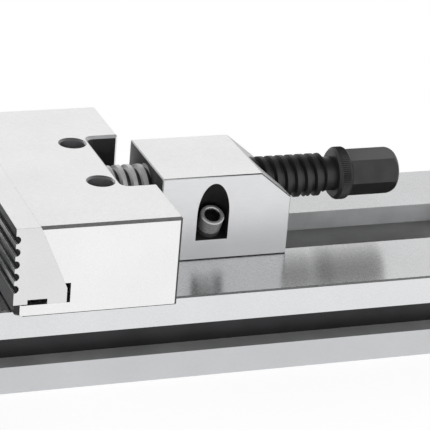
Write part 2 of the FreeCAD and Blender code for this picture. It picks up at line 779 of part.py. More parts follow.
def make_guide():
    """Guide block in the slot, hold-down plate below the lips, and their four screws."""
    guide_top = f"{RAIL} - lip_thickness - hold_down_gap"
    guide = new_body("guide_block", SLIDING_FACE, "0", guide_top)
    outline = new_sketch(guide, "XY_Plane")
    draw_rectangle(outline, "guide_start", "guide_start + guide_length",
                   "-slot_width / 2 + guide_fit", "slot_width / 2 - guide_fit")
    add_pad(guide, outline, "lip_thickness + hold_down_gap")
    plate = new_body("hold_down_plate", SLIDING_FACE, "0", guide_top)
    outline = new_sketch(plate, "XY_Plane")
    draw_rectangle(outline, "guide_start", "guide_start + guide_length",
                   "-undercut_width / 2 + hold_down_fit", "undercut_width / 2 - hold_down_fit")
    add_pad(plate, outline, "hold_down_thickness", backward=True)
    for body, depth, downward in ((guide, "lip_thickness + hold_down_gap", False),
                                  (plate, "hold_down_thickness", True)):
        holes = new_sketch(body, "XY_Plane")
        for along, across in guide_screw_places():
            draw_circle(holes, along, across, "m_six / 2 + shank_clearance")
        add_pocket(body, holes, depth, upward=not downward)
    heads = new_sketch(plate, "XY_Plane", "-hold_down_thickness")
    for along, across in guide_screw_places():
        draw_circle(heads, along, across, "m_six_head / 2 + head_clearance")
    add_pocket(plate, heads, "m_six_head_height + head_clearance", upward=True)
    seat = f"{guide_top} - hold_down_thickness + m_six_head_height + head_clearance"
    upside_down = Rotation(Vector(1, 0, 0), 180)
    screws = group([place(cap_screw("m_six", "guide_screw_length"), f"{SLIDING_FACE} + {along}",
                          across, seat, upside_down) for along, across in guide_screw_places()],
                   "hold_down_screws")
    return [guide, plate, screws]


def make_thrust_block():
    """Bearing block inside the sliding jaw, and the two screws in the wells that hold it."""
    body = new_body("thrust_block", SLIDING_FACE, "0", RAIL)
    right = [("block_ear_width / 2", "0"), ("block_ear_width / 2", "block_ear_height"),
             ("block_boss_width / 2", "block_ear_height"), ("block_boss_width / 2", "block_boss_top")]
    section = new_sketch(body, "YZ_Plane", BLOCK_FRONT)
    draw_outline(section, right + [(f"-({x})", y) for x, y in reversed(right)])
    add_pad(body, section, "block_length")
    for start, radius, depth in (
            (BLOCK_FRONT, "journal_diameter / 2 + running_fit", "block_length"),
            (f"{SHOULDER} - ({BEARING_STACK})", "bearing_diameter / 2 + bearing_fit", BEARING_STACK),
            (BLOCK_FRONT, "bearing_diameter / 2 + bearing_fit", RECESS_DEPTH)):
        bore = new_sketch(body, "YZ_Plane", start)
        draw_circle(bore, "0", "spindle_height", radius)
        add_pocket(body, bore, depth, upward=True)
    well_x = f"{NOTCH_FLOOR} - well_setback"
    tapped = new_sketch(body, "XY_Plane", "block_ear_height")
    for sign in ("-", ""):
        draw_circle(tapped, well_x, f"{sign}well_spacing / 2", "m_eight / 2 + tapped_clearance")
    add_pocket(body, tapped, "block_tapped_depth")
    low_tapped = new_sketch(body, "XY_Plane")
    for along, across in guide_screw_places()[2:]:
        draw_circle(low_tapped, along, across, "m_six / 2 + tapped_clearance")
    add_pocket(body, low_tapped, "guide_tapped_depth", upward=True)
    screws = group([place(cap_screw("m_eight", "bearing_screw_length"),
                          f"{SLIDING_FACE} + {well_x}", f"{sign}well_spacing / 2",
                          f"{RAIL} + jaw_height - well_depth") for sign in ("-", "")],
                   "thrust_block_screws")
    return [body, screws]


def ring(outer, inner, thickness, label=None):
    """Make a flat ring that stands on Z = 0."""
    return cut(add_cylinder(outer, thickness), add_cylinder(inner, f"{thickness} + 2", z="-1"), label)


def on_spindle(thing, x, turn=None):
    """Put a piece that was made along Z on the spindle's axis, at an X in the jaw's frame."""
    rotation = Rotation(Vector(0, 1, 0), 90)
    if turn is not None:
        rotation = Rotation(Vector(1, 0, 0), turn).multiply(rotation)
    return place(thing, f"{SLIDING_FACE} + {x}", "0", AXIS_HEIGHT, rotation)


def make_thread_ridge():
    """Trapezoidal thread ridge, cut off by a cone at each end."""
    pitch = measure("thread_pitch")
    length = measure("thread_length")
    major = measure("thread_diameter / 2")
    minor = major - measure("thread_depth")
    lead_in = measure("thread_lead_in")
    sunk = measure("ridge_sink")
    flank = measure("(thread_root - thread_crest) / 2 / thread_depth")
    crest = measure("thread_crest / 2")
    root = measure("thread_root / 2") + sunk * flank
    helix = Part.makeHelix(pitch, math.ceil(length / pitch + 2) * pitch, minor)
    corners = [Vector(minor - sunk, 0, -root), Vector(major, 0, -crest),
               Vector(major, 0, crest), Vector(minor - sunk, 0, root)]
    sweep = Part.BRepOffsetAPI.MakePipeShell(Part.Wire(helix.Edges))
    sweep.setFrenetMode(True)
    sweep.setMaxDegree(SWEEP_DEGREE)
    sweep.setMaxSegments(SWEEP_SPANS)
    sweep.add(Part.makePolygon(corners + corners[:1]))
    sweep.build()
    sweep.makeSolid()
    ridge = sweep.shape()
    ridge.translate(Vector(0, 0, -lead_in))
    end = major - measure("thread_end_chamfer")
    outside = major + measure("envelope_margin")
    rise = outside - end
    half_section = [Vector(), Vector(end, 0, 0), Vector(outside, 0, rise),
                    Vector(outside, 0, length - rise), Vector(end, 0, length), Vector(0, 0, length)]
    envelope = Part.Face(Part.makePolygon(half_section + half_section[:1]))
    return ridge.common(envelope.revolve(Vector(), Vector(0, 0, 1), 360))


def make_spindle():
    """Spindle: threaded tail, journal, trapezoidal thread, neck, collar and hexagon."""
    core = new_body("spindle_core", SLIDING_FACE, "0", AXIS_HEIGHT)
    collar_start = f"{THREAD_END} + neck_length"
    collar_end = f"{collar_start} + collar_length"
    steps = [
        (f"{JOURNAL_END} - tail_length", "tail_diameter / 2"),
        (JOURNAL_END, "tail_diameter / 2"),
        (JOURNAL_END, "journal_diameter / 2"),
        (SHOULDER, "journal_diameter / 2"),
        (SHOULDER, "thread_diameter / 2 - thread_depth"),
        (THREAD_END, "thread_diameter / 2 - thread_depth"),
        (THREAD_END, "neck_diameter / 2"),
        (collar_start, "neck_diameter / 2"),
        (collar_start, "collar_diameter / 2 - collar_chamfer"),
        (f"{collar_start} + collar_chamfer", "collar_diameter / 2"),
        (f"{collar_end} - collar_chamfer", "collar_diameter / 2"),
        (collar_end, "collar_diameter / 2 - collar_chamfer"),
    ]
    section = new_sketch(core, "XZ_Plane")
    draw_outline(section, [(f"{JOURNAL_END} - tail_length", "0")] + steps + [(collar_end, "0")])
    add_revolution(core, section)

    ridge = document.addObject("Part::Feature", "thread_ridge")
    ridge.Shape = make_thread_ridge()
    on_spindle(ridge, SHOULDER)

    flats = add_prism("hex_across_flats", "hex_length")
    rounding = document.addObject("Part::Fillet", "rounded_end")
    rounding.Base = add_cylinder("hex_across_flats / sqrt(3)", "hex_length")
    document.recompute()
    end = measure("hex_length")
    far_edges = [index for index, edge in enumerate(rounding.Base.Shape.Edges, start=1)
                 if all(near(vertex.Z, end) for vertex in edge.Vertexes)]
    radius = measure("hex_end_radius")
    rounding.Edges = [(index, radius, radius) for index in far_edges]
    hexagon = document.addObject("Part::Common", "hexagon")
    hexagon.Base = flats
    hexagon.Tool = rounding
    on_spindle(hexagon, collar_end, -measure("hex_turn"))
    drill = add_cylinder("centre_hole / 2", "centre_hole_depth")
    centre_bevel = "(centre_hole_mouth - centre_hole) / 2 / tan(30)"
    countersink = add_cone("centre_hole / 2", "centre_hole_mouth / 2", centre_bevel,
                           z=f"centre_hole_depth - {centre_bevel}")
    centre = on_spindle(join([drill, countersink]), f"{collar_end} + hex_length - centre_hole_depth")
    spindle = cut(join([core, ridge, hexagon]), centre, "spindle")
    spindle.Label = "spindle"
    return spindle


def make_bearing():
    """Thrust bearing: shaft washer, caged balls and housing washer."""
    fitted = "journal_diameter / 2 + running_fit"
    free = "journal_diameter / 2 + washer_clearance"
    outer = "bearing_diameter / 2"
    shaft_washer = on_spindle(ring(outer, fitted, "washer_thickness", "shaft_washer"),
                              f"{SHOULDER} - washer_thickness")
    shaft_washer.Label = "shaft_washer"
    housing_washer = on_spindle(ring(outer, free, "washer_thickness", "housing_washer"),
                                f"{SHOULDER} - ({BEARING_STACK})")
    housing_washer.Label = "housing_washer"
    middle = f"{SHOULDER} - ({BEARING_STACK}) / 2"
    balls = []
    holes = []
    count = int(measure("ball_count"))
    for index in range(count):
        x = f"bearing_pitch_diameter / 2 * cos({index} * 360 / ball_count)"
        y = f"bearing_pitch_diameter / 2 * sin({index} * 360 / ball_count)"
        ball = document.addObject("Part::Sphere", "ball")
        tie(ball, Radius="ball_diameter / 2")
        balls.append(place(ball, x, y))
        holes.append(add_cylinder("ball_diameter / 2 + cage_fit", "cage_thickness + 2", x, y,
                                  "-cage_thickness / 2 - 1"))
    ball_set = on_spindle(group(balls, "bearing_balls"), middle)
    inner = "(bearing_pitch_diameter - cage_width) / 2"
    cage = cut(ring("(bearing_pitch_diameter + cage_width) / 2", inner, "cage_thickness"),
               place(join(holes), z="cage_thickness / 2"), "bearing_cage")
    cage.Label = "bearing_cage"
    on_spindle(cage, f"{middle} - cage_thickness / 2")
    return [shaft_washer, housing_washer, ball_set, cage]


def make_retainer():
    """Washer, lock nut and set screw that hold the spindle in the bearing block."""
    washer = ring("lock_nut_diameter / 2", "journal_diameter / 2 + running_fit",
                  "retainer_thickness", "retaining_washer")
    on_spindle(washer, JOURNAL_END)
    washer.Label = "retaining_washer"
    blank = ring("lock_nut_diameter / 2", "tail_diameter / 2 + running_fit", "lock_nut_thickness")
    reach = "lock_nut_diameter / 2 - lock_screw_length"
    across = Rotation(Vector(0, 1, 0), 90)
    hole = add_cylinder("lock_screw_diameter / 2 + tapped_clearance", "lock_nut_diameter / 2", "0",
                        "0", "lock_nut_thickness / 2", across)
    nut = cut(blank, hole, "lock_nut")
    nut.Label = "lock_nut"
    on_spindle(nut, f"{JOURNAL_END} - lock_nut_thickness")
    screw = add_cylinder("lock_screw_diameter / 2", "lock_screw_length", rotation=across)
    key = add_prism("lock_screw_diameter / 2", "lock_screw_length", "lock_screw_length / 2",
                    rotation=across)
    screw = cut(screw, key, "lock_nut_screw")
    screw.Label = "lock_nut_screw"
    place(screw, f"{SLIDING_FACE} + {JOURNAL_END} - lock_nut_thickness / 2", "0",
          f"{AXIS_HEIGHT} - ({reach})", Rotation(Vector(0, 1, 0), 90))
    return [washer, nut, screw]


def check_and_write(parts):
    """Stop on any failed object or bad shape, then write one STEP file for each sub-part."""
    document.recompute()
    for item in document.Objects:
        if any(state in ("Invalid", "Error") for state in item.State):
            raise RuntimeError(f"{item.Label} failed: {item.State}")
    os.makedirs("parts", exist_ok=True)
    for item in parts:
        shape = item.Shape
        if shape.isNull() or not shape.isValid() or not shape.Solids:
            raise RuntimeError(f"{item.Label} has a bad shape")
        print(f"{item.Label}: {len(shape.Solids)} solids, {shape.Volume:.1f} mm3")
        shape.exportStep(f"parts/{item.Label}.step")


def main():
    """Build every sub-part and write it."""
    fill_sheet()
    facing = Rotation(Vector(0, 0, 1), 180)
    parts = [make_bed(), make_fixed_jaw(), make_jaw_plate("fixed_jaw_plate", FIXED_FACE, facing),
             make_plate_screws("fixed_plate_screws", FIXED_FACE, -1), make_fixed_jaw_key(),
             make_fixed_jaw_screws()]
    parts += make_stop_block()
    parts += [make_movable_jaw(),
              make_jaw_plate("movable_jaw_plate", SLIDING_FACE, Rotation()),
              make_plate_screws("movable_plate_screws", SLIDING_FACE, 1)]
    parts += make_guide()
    parts += make_thrust_block()
    parts += [make_spindle()]
    parts += make_bearing()
    parts += make_retainer()
    parts += [make_nut_block(), make_clamp_bar(), make_clamp_screw("clamp_screw_left", -1),
              make_clamp_screw("clamp_screw_right", 1), make_clamp_washers()]
    check_and_write(parts)


main()
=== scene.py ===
"""Looks of a precision machine vise: finishes, fine details, light and camera.

Lengths are metres in the vise's own frame: +Z up, +X from the fixed jaw to the
spindle's hexagon, origin at the centre of the bed's underside. The tests that
pick faces, and the sizes that only they use, are in millimetres.
"""

import logging
import math
from dataclasses import dataclass
from enum import Enum
from typing import Any, Callable

import bmesh
import bpy
from mathutils import Euler, Matrix, Vector

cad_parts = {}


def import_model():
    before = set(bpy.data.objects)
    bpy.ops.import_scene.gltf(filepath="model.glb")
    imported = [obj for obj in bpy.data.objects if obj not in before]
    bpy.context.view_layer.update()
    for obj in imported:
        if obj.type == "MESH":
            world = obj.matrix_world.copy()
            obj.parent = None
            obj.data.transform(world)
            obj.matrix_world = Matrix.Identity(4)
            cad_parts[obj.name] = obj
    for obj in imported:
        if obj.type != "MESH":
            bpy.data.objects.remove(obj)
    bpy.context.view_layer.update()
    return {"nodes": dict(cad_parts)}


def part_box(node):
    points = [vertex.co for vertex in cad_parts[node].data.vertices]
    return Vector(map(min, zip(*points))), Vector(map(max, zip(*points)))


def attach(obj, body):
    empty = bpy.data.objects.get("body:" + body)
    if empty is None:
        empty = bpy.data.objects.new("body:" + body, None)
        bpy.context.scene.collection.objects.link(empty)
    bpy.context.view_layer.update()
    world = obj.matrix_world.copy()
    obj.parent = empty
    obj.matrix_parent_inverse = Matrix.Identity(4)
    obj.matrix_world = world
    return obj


frame: dict[str, Any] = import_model()

log = logging.getLogger("vise")

Colour = tuple[float, float, float]
FaceTest = Callable[[Vector, Vector], bool]

MM = 0.001
WHITE = (1.0, 1.0, 1.0, 1.0)

# How much of a face's normal lies along an axis.
SQUARE = 0.98
NEARLY_SQUARE = 0.9
BEVEL_MOST = 0.8
BEVEL_LEAST = 0.6
HALFWAY = 0.5
TILTED = 0.3
HARDLY = 0.1

# Margin of a face test, in millimetres.
NEAR = 0.5

# Breaking of sharp edges.
WELD_REACH = 0.002 * MM
EDGE_STEPS = 2
SHARP_DEGREES = 30


class Grain(Enum):
    """Direction in which a face was ground or turned, as a factor for each axis."""

    ALONG_BED = (0.06, 1.0, 1.0)
    AROUND_SPINDLE = (1.0, 0.15, 0.15)
    ALL_WAYS = (1.0, 1.0, 1.0)


@dataclass(frozen=True)
class Pattern:
    """Noise of a finish: its lumps per metre and its number of finer layers."""

    scale: float
    layers: float


class NodeSheet:
    """Node tree with short ways to add nodes and join them."""

    def __init__(self, tree: bpy.types.NodeTree) -> None:
        """Take the node tree of a material or of the surroundings."""
        self.tree: bpy.types.NodeTree = tree

    def add(self, kind: str, inputs: dict[str, Any], **settings: Any) -> bpy.types.Node:
        """Add a node, set its properties, and set or join its inputs.

        Args:
            kind: Blender's name for the node.
            inputs: Input names, each with a value or another node's output.
            settings: Properties of the node.

        Returns:
            The new node.
        """
        node = self.tree.nodes.new(kind)
        for key, value in settings.items():
            setattr(node, key, value)
        for key, value in inputs.items():
            self.feed(node, key, value)
        return node

    def feed(self, node: bpy.types.Node, key: str, value: Any) -> None:
        """Give one input of a node a value or another node's output.

        Args:
            node: Node that takes the value.
            key: Name of the input, or its number as text.
            value: A number, a tuple or an output socket.
        """
        socket = node.inputs[int(key)] if key.isdigit() else node.inputs[key]
        if isinstance(value, bpy.types.NodeSocket):
            self.tree.links.new(value, socket)
        else:
            socket.default_value = value

    def reckon(self, operation: str, first: Any, second: Any) -> bpy.types.NodeSocket:
        """Work out a number from two numbers or sockets, by Blender's name for the operation."""
        inputs = {"0": first, "1": second}
        return self.add("ShaderNodeMath", inputs, operation=operation).outputs[0]

    def spread(self, value: bpy.types.NodeSocket, low: float, high: float,
               start: float = 0.3, end: float = 0.7) -> bpy.types.NodeSocket:
        """Map a value onto a range: it gives low at the start and high at the end."""
        inputs = {"Value": value, "From Min": start, "From Max": end, "To Min": low, "To Max": high}
        return self.add("ShaderNodeMapRange", inputs).outputs["Result"]


class ShaderSheet(NodeSheet):
    """Node tree of one material."""

    even_pointiness: float = 0.5
    worn_through: float = 3.0

    def __init__(self, name: str) -> None:
        """Start a material that holds only the standard shader.

        Args:
            name: Name of the material.
        """
        self.material: bpy.types.Material = bpy.data.materials.new(name)
        self.material.use_nodes = True
        super().__init__(self.material.node_tree)
        self.shader: bpy.types.Node = self.tree.nodes["Principled BSDF"]

    def surface(self, colour: Any, metallic: Any, roughness: Any) -> None:
        """Set the three main inputs of the shader.

        Args:
            colour: Base colour, as a tuple or a socket.
            metallic: Share of metal.
            roughness: Roughness.
        """
        full = (*colour, 1.0) if isinstance(colour, tuple) else colour
        for key, value in (("Base Color", full), ("Metallic", metallic), ("Roughness", roughness)):
            self.feed(self.shader, key, value)

    def place(self, grain: Grain) -> bpy.types.NodeSocket:
        """Give the place on the object, stretched along the grain.

        Args:
            grain: Direction in which it is stretched.

        Returns:
            The stretched place.
        """
        here = self.add("ShaderNodeTexCoord", {}).outputs["Object"]
        inputs = {"Vector": here, "Scale": grain.value}
        return self.add("ShaderNodeMapping", inputs).outputs["Vector"]

    def noise(self, pattern: Pattern, grain: Grain = Grain.ALL_WAYS) -> bpy.types.NodeSocket:
        """Add a pattern over the object.

        Args:
            pattern: The pattern.
            grain: Direction in which it is stretched.

        Returns:
            The noise, from 0 to 1.
        """
        here = self.place(grain)
        inputs = {"Vector": here, "Scale": pattern.scale, "Detail": pattern.layers}
        return self.add("ShaderNodeTexNoise", inputs).outputs["Fac"]

    def mix(self, share: Any, first: Any, second: Any) -> bpy.types.NodeSocket:
        """Mix two colours.

        Args:
            share: Share of the second colour.
            first: First colour, as a tuple or a socket.
            second: Second colour, as a tuple or a socket.

        Returns:
            The mixed colour.
        """
        node = self.add("ShaderNodeMix", {}, data_type="RGBA")
        for key, value in (("0", share), ("6", first), ("7", second)):
            full = (*value, 1.0) if isinstance(value, tuple) else value
            self.feed(node, key, full)
        return node.outputs[2]

    def worn_edges(self, reach: float) -> bpy.types.NodeSocket:
        """Find the sharp outer edges.

        Args:
            reach: How far above an even surface the wear starts.

        Returns:
            1 on an edge and 0 elsewhere.
        """
        point = self.add("ShaderNodeNewGeometry", {}).outputs["Pointiness"]
        start = self.even_pointiness + reach
        end = self.even_pointiness + self.worn_through * reach
        return self.spread(point, 0.0, 1.0, start, end)

    def bump(self, height: bpy.types.NodeSocket, strength: float, depth: float) -> None:
        """Raise the surface by a height.

        Args:
            height: Height from 0 to 1.
            strength: Strength of the effect.
            depth: Real depth in metres.
        """
        inputs = {"Height": height, "Strength": strength, "Distance": depth}
        normal = self.add("ShaderNodeBump", inputs).outputs["Normal"]
        self.feed(self.shader, "Normal", normal)


def tint(colour: Colour, factors: Colour) -> Colour:
    """Multiply each part of a colour by its own factor."""
    return (colour[0] * factors[0], colour[1] * factors[1], colour[2] * factors[2])


def shade(colour: Colour, factor: float) -> Colour:
    """Darken or lighten a colour by one factor."""
    return tint(colour, (factor, factor, factor))


@dataclass(frozen=True)
class GroundSteel:
    """Bright steel off a grinding wheel: fine parallel scratches and faint clouds.

    Its roughness runs from polish in one scratch to haze in the next.
    """

    name: str
    colour: Colour
    polish: float
    haze: float
    grain: Grain = Grain.ALONG_BED
    scratches: Pattern = Pattern(6500.0, 3.0)
    scratch_depth: float = 0.000002
    scratch_shade: float = 0.8
    scratch_share: float = 0.2
    bump: float = 0.3
    clouds: Pattern = Pattern(28.0, 3.0)
    cloud_shade: float = 0.95
    stretch: float = 0.0
    stretch_turn: float = 0.25

    def material(self) -> bpy.types.Material:
        """Build the finish.

        Returns:
            The material.
        """
        sheet = ShaderSheet(self.name)
        fine = sheet.noise(self.scratches, self.grain)
        broad = sheet.noise(self.clouds)
        clouded = shade(self.colour, self.cloud_shade)
        scratched = shade(self.colour, self.scratch_shade)
        base = sheet.mix(sheet.spread(broad, 0.0, 1.0), self.colour, clouded)
        lined = sheet.mix(sheet.spread(fine, 0.0, self.scratch_share), base, scratched)
        sheet.surface(lined, 1.0, sheet.spread(fine, self.polish, self.haze))
        sheet.bump(fine, self.bump, self.scratch_depth)
        if self.stretch:
            self._stretch_reflections(sheet)
        return sheet.material

    def _stretch_reflections(self, sheet: ShaderSheet) -> None:
        """Blur reflections more across the scratches of an upper face than along them.

        Args:
            sheet: Node tree of the material.
        """
        along = sheet.add("ShaderNodeTangent", {}, direction_type="RADIAL", axis="Y")
        sheet.feed(sheet.shader, "Tangent", along.outputs["Tangent"])
        sheet.feed(sheet.shader, "Anisotropic", self.stretch)
        sheet.feed(sheet.shader, "Anisotropic Rotation", self.stretch_turn)


@dataclass(frozen=True)
class MilledSteel:
    """Milled and hardened steel that was never ground: duller, with faint cutter marks."""

    name: str
    colour: Colour
    roughness: float
    metal: float = 0.9
    gloss: float = 0.5
    marks: Pattern = Pattern(1800.0, 2.0)
    mark_depth: float = 0.000006
    bump: float = 0.2
    clouds: Pattern = Pattern(45.0, 4.0)
    cloud_shade: float = 0.78
    smoothest: float = 0.85
    roughest: float = 1.15

    def material(self) -> bpy.types.Material:
        """Build the finish.

        Returns:
            The material.
        """
        sheet = ShaderSheet(self.name)
        cutter = sheet.noise(self.marks, Grain.ALONG_BED)
        broad = sheet.noise(self.clouds)
        clouded = shade(self.colour, self.cloud_shade)
        base = sheet.mix(sheet.spread(broad, 0.0, 1.0), self.colour, clouded)
        smooth = self.roughness * self.smoothest
        rough = self.roughness * self.roughest
        sheet.surface(base, self.metal, sheet.spread(cutter, smooth, rough))
        sheet.feed(sheet.shader, "Specular IOR Level", self.gloss)
        sheet.bump(cutter, self.bump, self.mark_depth)
        return sheet.material


@dataclass(frozen=True)
class BlackOxide:
    """Steel with a black-oxide finish that is rubbed bright on its edges."""

    name: str
    colour: Colour
    roughness: float
    metal: float = 0.6
    wear: Colour = (0.30, 0.30, 0.31)
    wear_share: float = 0.4
    wear_reach: float = 0.02
    pits: Pattern = Pattern(1800.0, 3.0)
    pit_depth: float = 0.000006
    bump: float = 0.25
    clouds: Pattern = Pattern(60.0, 4.0)
    warmth: Colour = (1.35, 1.2, 1.1)
    smoothest: float = 0.8
    roughest: float = 1.25

    def material(self) -> bpy.types.Material:
        """Build the finish.

        Returns:
            The material.
        """
        sheet = ShaderSheet(self.name)
        fine = sheet.noise(self.pits)
        broad = sheet.noise(self.clouds)
        warmer = tint(self.colour, self.warmth)
        base = sheet.mix(sheet.spread(broad, 0.0, 1.0), self.colour, warmer)
        share = sheet.reckon("MULTIPLY", sheet.worn_edges(self.wear_reach), self.wear_share)
        smooth = self.roughness * self.smoothest
        rough = self.roughness * self.roughest
        matt = sheet.spread(fine, smooth, rough)
        sheet.surface(sheet.mix(share, base, self.wear), self.metal, matt)
        sheet.bump(fine, self.bump, self.pit_depth)
        return sheet.material


@dataclass(frozen=True)
class SpindleSteel:
    """Turned spindle: bright steel near the jaw, turning to black oxide beyond."""

    name: str
    bright: Colour
    dark: Colour
    change_start: float
    change_end: float
    bright_shade: float = 0.7
    bright_share: float = 0.6
    bright_metal: float = 0.3
    bright_roughness: float = 0.36
    dark_shade: float = 1.4
    dark_metal: float = 0.6
    dark_roughness: float = 0.42
    marks: Pattern = Pattern(1500.0, 2.0)
    mark_depth: float = 0.000004
    bump: float = 0.15
    clouds: Pattern = Pattern(90.0, 4.0)

    def material(self) -> bpy.types.Material:
        """Build the finish.

        Returns:
            The material.
        """
        sheet = ShaderSheet(self.name)
        here = sheet.place(Grain.ALL_WAYS)
        along = sheet.add("ShaderNodeSeparateXYZ", {"Vector": here}).outputs["X"]
        share = sheet.spread(along, 0.0, 1.0, self.change_start, self.change_end)
        fine = sheet.noise(self.marks, Grain.AROUND_SPINDLE)
        broad = sheet.noise(self.clouds)
        duller = shade(self.bright, self.bright_shade)
        paler = shade(self.dark, self.dark_shade)
        bright = sheet.mix(sheet.spread(broad, 0.0, self.bright_share), self.bright, duller)
        dark = sheet.mix(sheet.spread(broad, 0.0, 1.0), self.dark, paler)
        metal = sheet.spread(share, self.bright_metal, self.dark_metal, 0.0, 1.0)
        rough = sheet.spread(share, self.bright_roughness, self.dark_roughness, 0.0, 1.0)
        sheet.surface(sheet.mix(share, bright, dark), metal, rough)
        sheet.bump(fine, self.bump, self.mark_depth)
        return sheet.material


@dataclass(frozen=True)
class Brass:
    """Machined brass with a light tarnish."""

    name: str
    colour: Colour
    polish: float = 0.25
    haze: float = 0.4
    tarnish: Pattern = Pattern(300.0, 3.0)
    tarnish_share: float = 0.5
    tarnish_shade: float = 0.6

    def material(self) -> bpy.types.Material:
        """Build the finish.

        Returns:
            The material.
        """
        sheet = ShaderSheet(self.name)
        broad = sheet.noise(self.tarnish)
        dull = shade(self.colour, self.tarnish_shade)
        base = sheet.mix(sheet.spread(broad, 0.0, self.tarnish_share), self.colour, dull)
        sheet.surface(base, 1.0, sheet.spread(broad, self.polish, self.haze))
        return sheet.material


class Finishes:
    """All the finishes of the vise, made once and shared."""

    pale: Colour = (0.93, 0.93, 0.93)

    def __init__(self) -> None:
        """Build each finish from its name, its colour and how rough it is."""
        self.bed = GroundSteel("bed_steel", (0.722, 0.729, 0.742), 0.20, 0.34).material()
        rail = GroundSteel("rail_steel", (0.83, 0.835, 0.845), 0.24, 0.32, stretch=0.85)
        self.rail = rail.material()
        self.band = GroundSteel("band_steel", (0.79, 0.797, 0.81), 0.20, 0.34).material()
        self.flange = GroundSteel("flange_steel", (0.62, 0.63, 0.645), 0.28, 0.44).material()
        self.jaw = GroundSteel("jaw_steel", self.pale, 0.24, 0.36).material()
        self.strip = GroundSteel("strip_steel", (0.74, 0.74, 0.74), 0.24, 0.36).material()
        self.plate = GroundSteel("plate_steel", (0.80, 0.80, 0.80), 0.24, 0.36).material()
        self.block = GroundSteel("block_steel", (0.92, 0.92, 0.92), 0.24, 0.36).material()
        # A darker copy of the block's steel: painted shade on the nut block's sides.
        self.flank_shade = GroundSteel("flank_shade_steel", (0.795, 0.80, 0.81), 0.28, 0.44).material()
        self.polished = GroundSteel("polished_steel", self.pale, 0.10, 0.16).material()
        self.races = GroundSteel("race_steel", self.pale, 0.10, 0.16, Grain.ALL_WAYS).material()
        self.grip = MilledSteel("grip_steel", (0.029, 0.031, 0.030), 0.38).material()
        # Bright lands between the gripping grooves: partly wear, partly a painted highlight along
        # each ridge.
        self.wear_and_sheen = MilledSteel("grip_land_sheen", (0.50, 0.51, 0.51), 0.38).material()
        # Near-black matt steel: a painted contact shadow along the lower bevels where blocks stand
        # on the rails.
        seam = MilledSteel("seam_painted_shade", (0.03, 0.03, 0.03), 0.8, metal=0.0, gloss=0.0)
        self.seam = seam.material()
        self.lip = MilledSteel("lip_steel", (0.80, 0.81, 0.82), 0.6, metal=0.5).material()
        self.shaded = MilledSteel("slot_steel", (0.60, 0.605, 0.61), 0.6, metal=0.6).material()
        self.ledge = MilledSteel("ledge_steel", (0.54, 0.545, 0.55), 0.6, metal=0.3).material()
        # Dark steel painted where shade falls: the notch walls, the nut block's front face and the
        # bevels beside its slant.
        self.painted_shade = MilledSteel("painted_shade_steel", (0.13, 0.13, 0.133), 0.42).material()
        self.milled = MilledSteel("milled_steel", (0.30, 0.30, 0.31), 0.45).material()
        self.dark = MilledSteel("dark_steel", (0.055, 0.055, 0.058), 0.42).material()
        self.worn = MilledSteel("worn_screws", (0.66, 0.66, 0.66), 0.3, metal=0.6).material()
        self.oxide = BlackOxide("oxide_steel", (0.032, 0.032, 0.033), 0.42).material()
        self.screws = BlackOxide("oxide_screws", (0.026, 0.026, 0.028), 0.36).material()
        self.cage = Brass("cage_brass", (0.72, 0.54, 0.24)).material()


def dress(node: str, material: bpy.types.Material) -> bpy.types.Object:
    """Give a node of the construction a finish.

    Args:
        node: Name of the node.
        material: Finish for all its faces.

    Returns:
        The node's object.
    """
    piece = frame["nodes"][node]
    piece.data.materials.clear()
    piece.data.materials.append(material)
    log.info("%s: %s", node, material.name)
    return piece


def paint(piece: bpy.types.Object, material: bpy.types.Material, chosen: FaceTest) -> None:
    """Give some faces of a piece another finish.

    Args:
        piece: The piece.
        material: Finish for the chosen faces.
        chosen: Test of a face's centre, in millimetres, and its normal.
    """
    piece.data.materials.append(material)
    index = len(piece.data.materials) - 1
    for face in piece.data.polygons:
        if chosen(face.center / MM, face.normal):
            face.material_index = index


def is_bevel(normal: Vector) -> bool:
    """Tell a face that stands at about 45 degrees between two axes."""
    return BEVEL_LEAST < max(abs(part) for part in normal) < BEVEL_MOST


def is_any_bevel(centre: Vector, normal: Vector) -> bool:
    """Find the bevels, wherever they are."""
    return is_bevel(normal)


def is_lower_bevel(centre: Vector, normal: Vector) -> bool:
    """Find the bevels along the lower edges, which take a painted contact shadow."""
    return is_bevel(normal) and normal.z < -HALFWAY


def is_side(centre: Vector, normal: Vector) -> bool:
    """Find the faces that look squarely to one side."""
    return abs(normal.y) > SQUARE


def is_top(centre: Vector, normal: Vector) -> bool:
    """Find the faces that look up."""
    return normal.z > NEARLY_SQUARE


def soften(piece: bpy.types.Object, width: float, worn: bpy.types.Material | None = None) -> None:
    """Break a piece's sharp edges with a narrow bevel.

    Args:
        piece: The piece.
        width: Width of the bevel.
        worn: Finish of the bevel where it differs from the faces beside it.
    """
    weld = piece.modifiers.new("weld", "WELD")
    weld.merge_threshold = WELD_REACH
    bevel = piece.modifiers.new("edge_break", "BEVEL")
    bevel.width = width
    bevel.segments = EDGE_STEPS
    bevel.limit_method = "ANGLE"
    bevel.angle_limit = math.radians(SHARP_DEGREES)
    bevel.harden_normals = True
    if worn:
        piece.data.materials.append(worn)
        bevel.material = len(piece.data.materials) - 1


def make_piece(name: str, mesh: bmesh.types.BMesh, place: Matrix,
               material: bpy.types.Material, body: str) -> bpy.types.Object:
    """Turn mesh code into a piece that rides on a body.

    Args:
        name: Name of the piece.
        mesh: The mesh, which is freed.
        place: Where the mesh goes in the vise's frame.
        material: Finish for all its faces.
        body: Body that carries the piece.

    Returns:
        The new piece.
    """
    data = bpy.data.meshes.new(name)
    mesh.transform(place)
    bmesh.ops.recalc_face_normals(mesh, faces=mesh.faces)
    mesh.to_mesh(data)
    mesh.free()
    data.materials.append(material)
    piece = bpy.data.objects.new(name, data)
    bpy.context.scene.collection.objects.link(piece)
    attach(piece, body)
    log.info("%s: %d faces on %s", name, len(data.polygons), body)
    return piece


